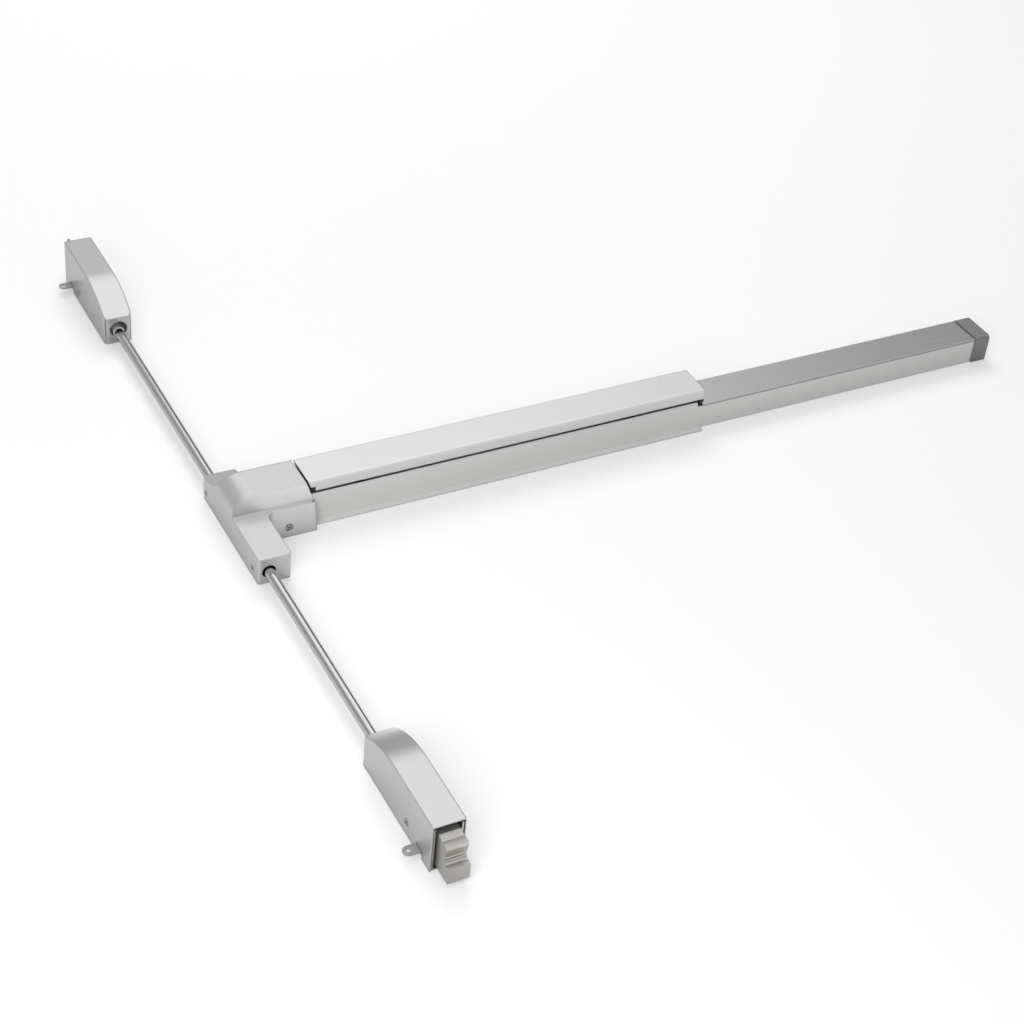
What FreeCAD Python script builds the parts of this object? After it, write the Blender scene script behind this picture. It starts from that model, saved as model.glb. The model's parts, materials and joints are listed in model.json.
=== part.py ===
import FreeCAD, Part
import os
import re
import Sketcher
from FreeCAD import Rotation, Vector

# Vertical rod exit device for an out-swinging door, shown as it is fixed to the door.
# X runs along the push bar, Z up along the rods, and the door's face is the plane Y = 0.
# The device stands out from the door towards -Y, and a depth is a distance from the door.
# The origin is on the door's face, where the rods' line crosses the push bar's middle.

os.makedirs("parts", exist_ok=True)
doc = FreeCAD.newDocument("ExitDevice")
sheet = doc.addObject("Spreadsheet::Sheet", "Sizes")

SIZES = [
    # Rods and their clearances
    ("rod_radius", 6.35),
    ("rod_depth", 17),
    ("running_gap", 0.05),
    ("seat_gap", 0.1),
    ("part_gap", 0.3),
    ("past", 1),
    # Case
    ("case_left", 13.5),
    ("case_right", 28),
    ("case_near", 112),
    ("case_far", 68),
    ("case_height", 37),
    ("case_far_height", 30.5),
    ("case_wall", 2.6),
    ("case_corner", 4),
    ("case_edge", 1.2),
    ("case_nook", 10),
    ("arm_end", 90),
    ("arm_half", 35),
    ("arm_foot_half", 42.5),
    ("dome_end", 82.5),
    ("dome_top_half", 24),
    ("dome_foot_half", 28.8),
    ("dome_height", 60.5),
    ("dome_curve", 30),
    ("rod_hole", 8.5),
    # Plates against the door
    ("plate_thick", 2.5),
    ("plate_half", 33.5),
    ("arm_tab_half", 35.5),
    ("door_hole", 3.3),
    ("door_hole_reach", 61),
    ("tab_width", 7),
    ("tab_rise", 18),
    ("tab_thick", 2.4),
    ("low_screw_z", 93),
    ("high_screw_z", 58),
    ("arm_screw_x", 55),
    ("case_screw_depth", 12),
    ("arm_screw_sink", 0.4),
    ("screw_radius", 2),
    ("screw_head", 4.2),
    ("screw_head_thick", 1.2),
    ("screw_socket", 1.7),
    ("screw_socket_deep", 0.9),
    ("head_gap", 0.5),
    # Rail
    ("rail_start", 34),
    ("rail_half", 25),
    ("rail_wall", 2),
    ("rail_height", 36.8),
    ("rail_seat", 34),
    ("lip_height", 40.4),
    ("lip_half", 22.2),
    ("lip_step", 1.2),
    ("rail_edge", 0.8),
    ("rail_screw_z", 17),
    ("rail_screw_x", 50),
    # Rail cover and end cap
    ("cover_thick", 2),
    ("cover_height", 37.2),
    ("cover_gap", 0.8),
    ("cover_flange", 6),
    ("cap_end", 1115),
    ("cap_length", 26),
    ("cap_half", 27),
    ("cap_height", 39.2),
    ("cap_wall", 3.2),
    ("cap_corner", 7),
    ("cap_edge", 3.5),
    ("bracket_length", 36),
    ("bracket_hole_in", 10),
    ("bracket_flange_half", 10),
    ("bracket_rise", 28),
    ("end_hole_in", 11),
    ("end_hole_reach", 12),
    # Push pad
    ("pad_gap", 2.6),
    ("pad_end", 641),
    ("pad_half", 25.2),
    ("pad_skirt", 46),
    ("pad_height", 60.3),
    ("pad_wall", 1.8),
    ("pad_round", 2.5),
    ("pad_travel", 6.5),
    ("pad_notch", 4.5),
    ("pad_notch_rise", 6),
    ("plug_length", 7),
    ("plug_proud", 0.2),
    ("plug_rise", 2),
    ("plug_low", 41),
    # Bell cranks in the rail
    ("left_crank_x", 170),
    ("right_crank_x", 550),
    ("crank_depth", 30),
    ("crank_arm", 9.5),
    ("crank_drop", 16.7),
    ("crank_side", 2.3),
    ("crank_thick", 4),
    ("crank_boss", 6),
    ("crank_tip", 4.5),
    ("pin_radius", 2.5),
    ("pivot_radius", 3),
    ("slot_gap", 0.3),
    ("ear_side", 11),
    ("ear_thick", 2),
    ("ear_half", 7),
    ("ear_height", 35),
    ("foot_half", 14),
    ("web_side", 7),
    ("web_thick", 3),
    ("web_foot", 28),
    ("web_back", 16),
    ("web_front", 4),
    ("pad_foot_back", 22),
    ("pad_foot_front", 6),
    ("pad_foot_half", 12),
    ("pad_foot_thick", 2),
    ("pin_proud", 0.6),
    ("pin_head_thick", 1.5),
    ("pin_head_lip", 1.5),
    # Actuator bar
    ("bar_start", 38),
    ("bar_overhang", 12),
    ("bar_half", 1.5),
    ("bar_low", 8),
    ("bar_high", 21),
    ("head_start", 13.5),
    ("head_stop", 50),
    ("head_half", 14),
    ("head_thick", 3),
    ("guide_half", 5),
    ("guide_length", 12),
    ("guide_height", 16),
    ("first_guide_x", 80),
    ("guide_offset", 60),
    # Lift levers and slides in the case
    ("lever_x", 24),
    ("lever_z", 22),
    ("lever_arm", 22),
    ("lever_drop", 14),
    ("lever_low", 26),
    ("lever_thick", 4),
    ("lever_boss", 6),
    ("lever_tip", 5),
    ("lever_arm_half", 4),
    ("shoulder_radius", 4.5),
    ("slide_half", 10),
    ("slide_high", 24),
    ("slide_start", 24),
    ("slide_stop", 48),
    ("slide_slot_floor", 18.5),
    ("rod_start", 38),
    ("nut_across", 18),
    ("nut_thick", 6),
    # Latches
    ("latch_end", 586),
    ("latch_length", 167),
    ("latch_half", 19),
    ("latch_deep", 63.5),
    ("latch_flat", 92),
    ("latch_low", 38.5),
    ("latch_nose", 6),
    ("latch_edge", 1.5),
    ("latch_mouth", 11.5),
    ("latch_mouth_depth", 20.8),
    ("latch_wall", 1.5),
    ("latch_screw_in", 57),
    ("latch_screw_depth", 16.5),
    ("latch_head_thick", 1.2),
    ("latch_head_sink", 0.7),
    ("housing_half", 16.6),
    ("housing_wall", 2),
    ("housing_deep", 58.5),
    ("housing_flat", 100),
    ("housing_back", 17),
    ("housing_low", 44),
    ("housing_start", 1),
    ("end_wall_height", 32),
    ("ear_in", 26),
    ("ear_width", 13),
    ("ear_reach", 37),
    ("ear_depth", 9),
    ("ear_hole", 2.75),
    ("ear_slot_gap", 0.6),
    ("latch_hole_in", 104),
    ("latch_hole_step", 30),
    ("bushing_radius", 7.6),
    ("bushing_flange", 12),
    ("bushing_flange_thick", 3),
    ("bushing_proud", 0.8),
    ("bolt_half", 12.5),
    ("bolt_low", 7),
    ("bolt_top", 53),
    ("bolt_tip", 27),
    ("top_bolt_tip", 9),
    ("nub_half", 2.2),
    ("nub_depth", 59.2),
    ("nub_in", 4),
    ("bolt_step_depth", 27),
    ("bolt_back", 30),
    ("bolt_stem_back", 62),
    ("bolt_stem_high", 29),
    ("bolt_bore_depth", 18),
    ("bolt_shoulder", 6),
    ("bolt_step_in", 8),
    ("bolt_valley_in", 10.5),
    ("bolt_valley_rise", 8),
    ("bolt_brow_in", 7.5),
    ("bolt_brow_drop", 6),
    ("bolt_crown_in", 8.5),
    ("bolt_crown_drop", 2),
    ("bolt_dip_in", 18),
    ("bolt_dip_drop", 2.5),
    ("groove_in", 6),
    ("groove_radius", 4.5),
    ("guide_stop", 40),
    ("spring_wire", 1),
    ("spring_radius", 8.4),
    ("spring_turns", 9),
]

for row, (alias, number) in enumerate(SIZES, start=1):
    sheet.set("A%d" % row, alias)
    sheet.set("B%d" % row, str(number))
    sheet.setAlias("B%d" % row, alias)
doc.recompute()

ALIASES = {alias for alias, number in SIZES}
NODES = []


# An expression over the sheet's aliases, in the form that a property takes.
def bound(text):
    def prefixed(match):
        word = match.group(0)
        return "Sizes." + word if word in ALIASES else word

    return re.sub(r"[a-z_]+", prefixed, str(text))


def number_of(text):
    value = sheet.evalExpression(bound(text))
    return float(getattr(value, "Value", value))


def place(shape, x="0", y="0", z="0"):
    shape.setExpression("Placement.Base.x", bound(x))
    shape.setExpression("Placement.Base.y", bound(y))
    shape.setExpression("Placement.Base.z", bound(z))


# A block between two x, two depths and two heights.
def box(name, x, deep, z):
    shape = doc.addObject("Part::Box", name)
    shape.setExpression("Length", bound("(%s) - (%s)" % (x[1], x[0])))
    shape.setExpression("Width", bound("(%s) - (%s)" % (deep[1], deep[0])))
    shape.setExpression("Height", bound("(%s) - (%s)" % (z[1], z[0])))
    place(shape, x[0], "-(%s)" % deep[1], z[0])
    return shape


def turned(shape, axis):
    if axis == "x":
        shape.Placement.Rotation = Rotation(Vector(0, 1, 0), 90)
    if axis == "deep":
        shape.Placement.Rotation = Rotation(Vector(1, 0, 0), 90)


# A cylinder along x, z or the depth, from one end of its span to the other.
def cylinder(name, axis, centre, span, radius):
    shape = doc.addObject("Part::Cylinder", name)
    shape.setExpression("Radius", bound(radius))
    shape.setExpression("Height", bound("(%s) - (%s)" % (span[1], span[0])))
    turned(shape, axis)
    if axis == "x":
        place(shape, span[0], "-(%s)" % centre[0], centre[1])
    elif axis == "deep":
        place(shape, centre[0], "-(%s)" % span[0], centre[1])
    else:
        place(shape, centre[0], "-(%s)" % centre[1], span[0])
    return shape


# An elliptical cylinder along z, by its half widths along x and the depth.
def oval(name, centre, span, halves):
    ring = doc.addObject("Part::Ellipse", name + "_ring")
    ring.setExpression("MajorRadius", bound("max(%s; %s)" % halves))
    ring.setExpression("MinorRadius", bound("min(%s; %s)" % halves))
    ring.setExpression("Placement.Rotation.Angle", bound("%s >= %s ? 0 : 90" % halves))
    place(ring, centre[0], "-(%s)" % centre[1], span[0])
    solid = doc.addObject("Part::Extrusion", name)
    solid.Base = ring
    solid.Dir = Vector(0, 0, 1)
    solid.Solid = True
    solid.setExpression("LengthFwd", bound("(%s) - (%s)" % (span[1], span[0])))
    return solid


def prism_of_six(name, across, axis, centre, span):
    shape = doc.addObject("Part::Prism", name)
    shape.Polygon = 6
    shape.setExpression("Circumradius", bound("(%s) / sqrt(3)" % across))
    shape.setExpression("Height", bound("(%s) - (%s)" % (span[1], span[0])))
    turned(shape, axis)
    place(shape, centre[0], "-(%s)" % centre[1], span[0])
    return shape


PLANES = {"x": "YZ_Plane", "deep": "XZ_Plane", "z": "XY_Plane"}


# A closed outline of bound points, drawn across an axis and padded along it.
# Its points are (depth, z) across x, (x, z) across the depth and (x, depth) across z.
def outline(name, axis, points, span):
    body = doc.addObject("PartDesign::Body", name)
    sketch = body.newObject("Sketcher::SketchObject", name + "_sketch")
    plane = [item for item in body.Origin.OriginFeatures if item.Role == PLANES[axis]][0]
    sketch.AttachmentSupport = [(plane, "")]
    sketch.MapMode = "FlatFace"
    sketch.setExpression(".AttachmentOffset.Base.z", bound(span[0]))
    flips = {"x": ("-(%s)", "%s"), "deep": ("%s", "%s"), "z": ("%s", "-(%s)")}[axis]
    texts = [(flips[0] % first, flips[1] % second) for first, second in points]
    values = [(number_of(first), number_of(second)) for first, second in texts]
    count = len(points)
    for index in range(count):
        start = values[index]
        stop = values[(index + 1) % count]
        sketch.addGeometry(Part.LineSegment(Vector(*start, 0), Vector(*stop, 0)))
    for index in range(count):
        sketch.addConstraint(Sketcher.Constraint("Coincident", index, 2, (index + 1) % count, 1))
    for index in range(count):
        for side, kind in enumerate(("DistanceX", "DistanceY")):
            limit = Sketcher.Constraint(kind, -1, 1, index, 1, values[index][side])
            label = "%s%d" % (kind[-1].lower() + "_point_", index)
            number = sketch.addConstraint(limit)
            sketch.renameConstraint(number, label)
            sketch.setExpression("Constraints." + label, bound(texts[index][side]))
    pad = body.newObject("PartDesign::Pad", name + "_pad")
    pad.Profile = sketch
    pad.setExpression("Length", bound("(%s) - (%s)" % (span[1], span[0])))
    sketch.Visibility = False
    doc.recompute()
    return body


def fuse(name, shapes):
    joined = doc.addObject("Part::MultiFuse", name)
    joined.Shapes = shapes
    joined.Refine = True
    return joined


def common(name, base, tool):
    shared = doc.addObject("Part::Common", name)
    shared.Base = base
    shared.Tool = tool
    return shared


def cut(name, base, tools):
    result = doc.addObject("Part::Cut", name)
    result.Base = base
    result.Tool = tools[0] if len(tools) == 1 else fuse(name + "_tools", tools)
    result.Refine = True
    return result


# Rounds the edges that a test picks, each by one radius from the sheet.
def rounded(name, base, alias, wanted):
    doc.recompute()
    radius = number_of(alias)
    edges = [
        (index, radius, radius)
        for index, edge in enumerate(base.Shape.Edges, start=1)
        if wanted(edge.BoundBox)
    ]
    result = doc.addObject("Part::Fillet", name)
    result.Base = base
    result.Edges = edges
    return result


# Nothing is longer than this along the axes that an edge doesn't run along.
FLAT = 0.01


def near(value, text):
    return abs(value - number_of(text)) < FLAT


def runs_along(bounds, axis):
    lengths = {"x": bounds.XLength, "y": bounds.YLength, "z": bounds.ZLength}
    return all((length > FLAT) == (key == axis) for key, length in lengths.items())


def node(name, shape):
    shape.Label = name
    NODES.append(shape)
    return shape


# The two spans of z that a span on one side gives, for a pair of walls.
def both_sides(inner, outer):
    return (("-(%s)" % outer, "-(%s)" % inner), (inner, outer))


# The same piece on the other side of the push bar's middle.
def mirror_of(name, source):
    copy = doc.addObject("Part::Mirroring", name)
    copy.Source = source
    copy.Base = Vector(0, 0, 0)
    copy.Normal = Vector(0, 0, 1)
    return copy


def mirrored(name, source):
    return node(name, mirror_of(name, source))


# A round-headed screw with a socket, along one axis. Its head's face is at the tip.
def screw(name, axis, centre, tip, inward, length, thick="screw_head_thick"):
    inner = "(%s) + %d * (%s)" % (tip, inward, length)
    under = "(%s) + %d * (%s)" % (tip, inward, thick)
    floor = "(%s) + %d * screw_socket_deep" % (tip, inward)
    spans = [(tip, under), (tip, inner), (tip, floor)]
    if inward < 0:
        spans = [(last, first) for first, last in spans]
    top = cylinder(name + "_head", axis, centre, spans[0], "screw_head")
    shank = cylinder(name + "_shank", axis, centre, spans[1], "screw_radius")
    socket = cylinder(name + "_socket", axis, centre, spans[2], "screw_socket")
    return cut(name, fuse(name + "_solid", [top, shank]), [socket])


# The outer face of the head of a screw in the arm's sloped side, which is sunk a little.
ARM_SLOPE = "((arm_foot_half - arm_half) / case_height)"
ARM_SCREW_FACE = "(arm_foot_half - %s * case_screw_depth - arm_screw_sink)" % ARM_SLOPE


# A hole through a wall for a screw, with a seat for its head. It runs inward from the head's face.
def sunk_hole(name, axis, centre, face, inward, wall, sink):
    outside = "(%s) - %d * (%s + past)" % (face, inward, sink)
    seat = "(%s) + %d * (%s)" % (face, inward, sink)
    inside = "(%s) + %d * (%s + past)" % (face, inward, wall)
    spans = [(outside, seat), (outside, inside)]
    if inward < 0:
        spans = [(last, first) for first, last in spans]
    return [
        cylinder(name + "_seat", axis, centre, spans[0], "screw_head + head_gap"),
        cylinder(name + "_bore", axis, centre, spans[1], "screw_radius + seat_gap"),
    ]


# Swings that carry the pad's travel to the bar, and the bar's travel to the rods.
CRANK_SWING = "asin(pad_travel / 2 / crank_arm)"
BAR_TRAVEL = "(crank_drop * pad_travel / crank_arm)"
LEVER_SWING = "asin(%s / 2 / lever_drop)" % BAR_TRAVEL
COVER_START = "(pad_end + cover_gap)"
RAIL_FLOOR = "(plate_thick + rail_wall)"
CAP_START = "(cap_end - cap_length)"
RAIL_END = "(%s - part_gap)" % CAP_START
BRACKET_START = "(%s - bracket_length)" % CAP_START
BRACKET_HOLE = "(%s + bracket_hole_in)" % BRACKET_START
HOUSING_STOP = "(latch_length - housing_back)"
LATCH_FALL = "(latch_deep - latch_low)"
LATCH_CURVE = "(((latch_length - latch_flat) ^ 2 + %s ^ 2) / 2 / %s)" % (LATCH_FALL, LATCH_FALL)


# The place of the pad's slanted start at a depth. It keeps a gap from the case's slanted end.
def pad_start(depth):
    slope = "(arm_end - dome_end) / (dome_height - case_height)"
    return "(dome_end + pad_gap + %s * (dome_height - (%s)))" % (slope, depth)


def along_latch(inward):
    return "(-latch_end + (%s))" % inward


# The case's outer form, or its hollow when every wall is set in.
def case_form(name, inset, foot):
    left = "(-case_left + %s)" % inset
    top = "(case_height - %s)" % inset
    crown = "(dome_height - %s)" % inset
    arm = "(arm_half - %s)" % inset
    arm_foot = "(arm_foot_half - %s)" % inset
    end = "(arm_end - %s)" % inset
    dome_end = "(dome_end - %s)" % inset
    curve = "(dome_curve - %s)" % inset
    rise = "(dome_height - case_height)"
    foot_half = "(dome_foot_half - %s)" % inset
    top_half = "(dome_top_half - %s)" % inset
    block = outline(
        name + "_block",
        "x",
        [
            (foot, "-case_near + %s" % inset),
            (top, "-case_near + %s" % inset),
            (top, arm),
            ("case_far_height - %s" % inset, "case_far - %s" % inset),
            (foot, "case_far - %s" % inset),
        ],
        (left, "case_right - %s" % inset),
    )
    flanks = [(foot, "-" + arm_foot), (top, "-" + arm), (top, arm), (foot, arm_foot)]
    arm_form = outline(name + "_arm", "x", flanks, (left, end))
    dome = outline(
        name + "_dome",
        "x",
        [
            (foot, "-" + foot_half),
            (top, "-" + foot_half),
            (crown, "-" + top_half),
            (crown, top_half),
            (top, foot_half),
            (foot, foot_half),
        ],
        (left, end),
    )
    centre_x = "(%s + %s)" % (left, curve)
    reach = ("-" + arm, arm)
    crown_form = outline(
        name + "_crown",
        "z",
        [(centre_x, foot), (end, foot), (end, top), (dome_end, crown), (centre_x, crown)],
        reach,
    )
    bend = fuse(
        name + "_bend",
        [
            oval(name + "_curve", (centre_x, top), reach, (curve, rise)),
            crown_form,
            box(name + "_left", (left, end), (foot, top), reach),
        ],
    )
    return fuse(name, [block, arm_form, common(name + "_vault", dome, bend)])


def case_cover():
    outer = case_form("case_outer", "0", "0")

    def upright(bounds):
        at_block = near(bounds.ZMin, "-case_near") or near(bounds.ZMax, "case_far")
        return runs_along(bounds, "y") and at_block

    def nook(bounds):
        on_block = bounds.XLength < FLAT and near(bounds.XMax, "case_right")
        return on_block and bounds.ZLength > FLAT and bounds.YLength > bounds.ZLength

    def ridge(bounds):
        on_face = near(bounds.YMin, "-case_height") and near(bounds.YMax, "-case_height")
        return on_face and bounds.ZMax < FLAT - number_of("arm_half")

    shaped = rounded("case_corners", outer, "case_corner", upright)
    shaped = rounded("case_nooks", shaped, "case_nook", nook)
    shaped = rounded("case_edges", shaped, "case_edge", ridge)
    hollow = case_form("case_hollow", "case_wall", "-past")
    low = box(
        "case_mouth",
        ("arm_end - 2 * case_wall", "arm_end + past"),
        ("-past", "lip_height + part_gap"),
        ("-rail_half - part_gap", "rail_half + part_gap"),
    )
    rod_way = ("-case_near - past", "case_far + past")
    bore = cylinder("case_rod_bore", "z", ("0", "rod_depth"), rod_way, "rod_hole")
    holes = []
    for index, z in enumerate(("-low_screw_z", "high_screw_z")):
        name = "case_left_hole_%d" % index
        centre = ("case_screw_depth", z)
        holes += sunk_hole(name, "x", centre, "-case_left", 1, "case_wall", "screw_head_thick")
    for index, side in enumerate((-1, 1)):
        name = "case_arm_hole_%d" % index
        centre = ("arm_screw_x", "case_screw_depth")
        face = "%d * %s" % (side, ARM_SCREW_FACE)
        holes += sunk_hole(name, "z", centre, face, -side, "2 * case_wall", "screw_head_thick")
    node("case_cover", cut("case_cover", shaped, [hollow, low, bore] + holes))


def case_base_plate():
    left = "-case_left + case_wall + part_gap"
    right = "case_right - case_wall - part_gap"
    near_end = "-case_near + case_wall + part_gap"
    far_end = "case_far - case_wall - part_gap"
    half = "(arm_foot_half - case_wall - 4 * part_gap)"
    thick = ("0", "plate_thick")
    parts = [
        box("plate_upright", (left, right), thick, (near_end, far_end)),
        box("plate_arm", (left, "arm_end - case_wall - part_gap"), thick, ("-" + half, half)),
    ]
    for index, z in enumerate(("-low_screw_z", "high_screw_z")):
        ends = ("%s - tab_width / 2" % z, "%s + tab_width / 2" % z)
        parts.append(box("plate_tab_%d" % index, (left, "%s + tab_thick" % left), ("0", "tab_rise"), ends))
    ends = ("arm_screw_x - tab_width / 2", "arm_screw_x + tab_width / 2")
    for index, sides in enumerate(both_sides("arm_tab_half - tab_thick", "arm_tab_half")):
        parts.append(box("plate_arm_tab_%d" % index, ends, ("0", "tab_rise"), sides))
    holes = []
    through = ("-past", "plate_thick + past")
    for index, z in enumerate(("-door_hole_reach", "door_hole_reach")):
        holes.append(cylinder("plate_hole_%d" % index, "deep", ("0", z), through, "door_hole"))
    for index, z in enumerate(("-low_screw_z", "high_screw_z")):
        span = ("-case_left", "-case_left + case_wall + part_gap + tab_thick + past")
        centre = ("case_screw_depth", z)
        holes.append(cylinder("tab_hole_%d" % index, "x", centre, span, "screw_radius + seat_gap"))
    span = ("-arm_foot_half", "arm_foot_half")
    centre = ("arm_screw_x", "case_screw_depth")
    holes.append(cylinder("arm_tab_hole", "z", centre, span, "screw_radius + seat_gap"))
    for index, z in enumerate(("-rail_screw_z", "rail_screw_z")):
        centre = ("rail_screw_x", z)
        holes.append(cylinder("rail_hole_%d" % index, "deep", centre, through, "screw_radius + seat_gap"))
    for index, z in enumerate(("-lever_z", "lever_z")):
        centre = ("lever_x", z)
        holes.append(cylinder("pivot_hole_%d" % index, "deep", centre, through, "pivot_radius + seat_gap"))
    node("case_base_plate", cut("case_base_plate", fuse("plate_solid", parts), holes))


def case_screws():
    length = "case_wall + part_gap + tab_thick"
    screws = []
    for index, z in enumerate(("-low_screw_z", "high_screw_z")):
        screws.append(screw("left_screw_%d" % index, "x", ("case_screw_depth", z), "-case_left", 1, length))
    for index, side in enumerate((-1, 1)):
        tip = "%d * %s" % (side, ARM_SCREW_FACE)
        centre = ("arm_screw_x", "case_screw_depth")
        arm_length = "%s - arm_tab_half + tab_thick" % ARM_SCREW_FACE
        screws.append(screw("arm_screw_%d" % index, "z", centre, tip, -side, arm_length))
    node("case_cover_screws", fuse("case_cover_screws", screws))


# The rail: a channel whose side walls end in shoulders and sloped lips under the pad.
def base_rail():
    right = [
        ("plate_thick", "rail_half"),
        ("rail_height", "rail_half"),
        ("lip_height", "lip_half"),
        ("lip_height - lip_step", "lip_half - lip_step"),
        ("rail_height - rail_wall / 2", "rail_half - rail_wall"),
        (RAIL_FLOOR, "rail_half - rail_wall"),
    ]
    left = [(deep, "-(%s)" % z) for deep, z in reversed(right)]
    channel = outline("rail_channel", "x", right + left, ("rail_start", RAIL_END))
    top = box(
        "rail_cover_seat",
        ("pad_end - plug_length", RAIL_END + " + past"),
        ("rail_seat", "lip_height + past"),
        ("-rail_half - past", "rail_half + past"),
    )
    holes = []
    span = ("0", RAIL_FLOOR + " + past")
    for index, z in enumerate(("-rail_screw_z", "rail_screw_z")):
        for side, x in (("floor", "rail_screw_x"), ("end", BRACKET_HOLE)):
            name = "rail_%s_hole_%d" % (side, index)
            holes.append(cylinder(name, "deep", (x, z), span, "screw_radius + seat_gap"))
    feet = []
    for index, sides in enumerate(both_sides("rail_half - rail_wall", "rail_half")):
        foot_span = ("pad_end + part_gap", RAIL_END)
        feet.append(box("rail_foot_%d" % index, foot_span, ("seat_gap", "plate_thick"), sides))
    node("base_rail", cut("base_rail", fuse("rail_solid", [channel] + feet), [top] + holes))


def rail_screws():
    screws = []
    for place_x in ("rail_screw_x", BRACKET_HOLE):
        for z in ("-rail_screw_z", "rail_screw_z"):
            name = "rail_screw_%d" % len(screws)
            tip = RAIL_FLOOR + " + screw_head_thick"
            screws.append(screw(name, "deep", (place_x, z), tip, -1, tip))
    node("rail_screws", fuse("rail_screws", screws))


def rail_back_plate():
    span = ("arm_end + part_gap", "pad_end")
    plate = box("rail_back_plate", span, ("0", "plate_thick"), ("-plate_half", "plate_half"))
    node("rail_back_plate", plate)


def rail_cover():
    low = "(cover_height - cover_thick)"
    sides = ("-rail_half", "rail_half")
    sheet_box = box("cover_sheet", (COVER_START, RAIL_END), (low, "cover_height"), sides)
    smooth = rounded(
        "cover_smooth",
        sheet_box,
        "rail_edge",
        lambda bounds: runs_along(bounds, "x") and near(bounds.YMin, "-cover_height"),
    )
    inner = "(rail_half - rail_wall - part_gap)"
    drop = "(%s - cover_flange)" % low
    flanges = []
    for index, sides in enumerate(both_sides("%s - cover_thick" % inner, inner)):
        flanges.append(box("cover_flange_%d" % index, (COVER_START, RAIL_END), (drop, low), sides))
    node("rail_cover", fuse("rail_cover", [smooth] + flanges))


def end_pieces():
    outer = box("cap_box", (CAP_START, "cap_end"), ("0", "cap_height"), ("-cap_half", "cap_half"))

    def corner(bounds):
        return runs_along(bounds, "x") and near(bounds.YMin, "-cap_height")

    def edge(bounds):
        return near(bounds.XMin, "cap_end") and bounds.YMin < -number_of("tab_rise")

    shaped = rounded("cap_corners", outer, "cap_corner", corner)
    shaped = rounded("cap_edges", shaped, "cap_edge", edge)
    inner_half = "(cap_half - cap_wall)"
    hollow = box(
        "cap_hollow",
        (CAP_START + " - past", "cap_end - cap_wall"),
        ("-past", "cap_height - cap_wall"),
        ("-" + inner_half, inner_half),
    )
    centre = ("rod_depth", "0")
    hole = cylinder("cap_screw_hole", "x", centre, (CAP_START, "cap_end + past"), "screw_radius + seat_gap")
    node("end_cap", cut("end_cap", shaped, [hollow, hole]))
    half = "(rail_half - rail_wall - part_gap)"
    flange_x = "(cap_end - cap_wall - part_gap)"
    foot = box("bracket_foot", (BRACKET_START, flange_x), ("0", "plate_thick"), ("-" + half, half))
    flange_sides = ("-bracket_flange_half", "bracket_flange_half")
    flange_span = ("%s - tab_thick" % flange_x, flange_x)
    flange = box("bracket_flange", flange_span, ("0", "bracket_rise"), flange_sides)
    span = (CAP_START, "cap_end")
    holes = [cylinder("bracket_screw_hole", "x", centre, span, "screw_radius + seat_gap")]
    span = ("-past", "plate_thick + past")
    for index, z in enumerate(("-end_hole_reach", "end_hole_reach")):
        place_in_door = (CAP_START + " + end_hole_in", z)
        holes.append(cylinder("bracket_hole_%d" % index, "deep", place_in_door, span, "door_hole"))
    for index, z in enumerate(("-rail_screw_z", "rail_screw_z")):
        name = "bracket_rail_hole_%d" % index
        holes.append(cylinder(name, "deep", (BRACKET_HOLE, z), span, "screw_radius + seat_gap"))
    node("end_bracket", cut("end_bracket", fuse("bracket_solid", [foot, flange]), holes))
    length = "cap_wall + part_gap + tab_thick + screw_head_thick"
    node("end_cap_screw", screw("end_cap_screw", "x", centre, "cap_end + screw_head_thick", -1, length))


def push_pad():
    side = [
        (pad_start("pad_skirt"), "pad_skirt"),
        ("pad_end", "pad_skirt"),
        ("pad_end", "pad_height"),
        (pad_start("pad_height"), "pad_height"),
    ]
    block = outline("pad_block", "z", side, ("-pad_half", "pad_half"))
    smooth = rounded(
        "pad_smooth",
        block,
        "pad_round",
        lambda bounds: runs_along(bounds, "x") and near(bounds.YMin, "-pad_height"),
    )
    inner = "(pad_half - pad_wall)"
    hollow = box(
        "pad_hollow",
        ("dome_end", "pad_end + past"),
        ("pad_skirt - past", "pad_height - pad_wall"),
        ("-" + inner, inner),
    )
    notch = box(
        "pad_notch_box",
        ("dome_end", pad_start("pad_skirt") + " + pad_notch"),
        ("pad_skirt - past", "pad_skirt + pad_notch_rise"),
        ("-pad_half - past", "pad_half + past"),
    )
    node("push_pad", cut("push_pad", smooth, [hollow, notch]))
    plug_half = "(pad_half - pad_wall - seat_gap)"
    plug_sides = ("-" + plug_half, plug_half)
    plug_foot = "pad_skirt + plug_rise"
    plug_top = "pad_height - pad_wall - seat_gap"
    plug_back = pad_start(plug_foot) + " + plug_length"
    slanted = [
        (pad_start(plug_foot) + " - plug_proud", plug_foot),
        (plug_back, plug_foot),
        (plug_back, plug_top),
        (pad_start(plug_top) + " - plug_proud", plug_top),
    ]
    node("left_pad_plug", outline("left_pad_plug", "z", slanted, plug_sides))
    right_span = ("pad_end - plug_length + past", "pad_end + plug_proud")
    inside = box("right_plug_inside", right_span, ("pad_skirt - seat_gap", plug_top), plug_sides)
    below_depths = ("plug_low", "pad_skirt - seat_gap")
    below = box("right_plug_below", right_span, below_depths, ("-pad_half", "pad_half"))
    node("right_pad_plug", fuse("right_pad_plug", [inside, below]))


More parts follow.
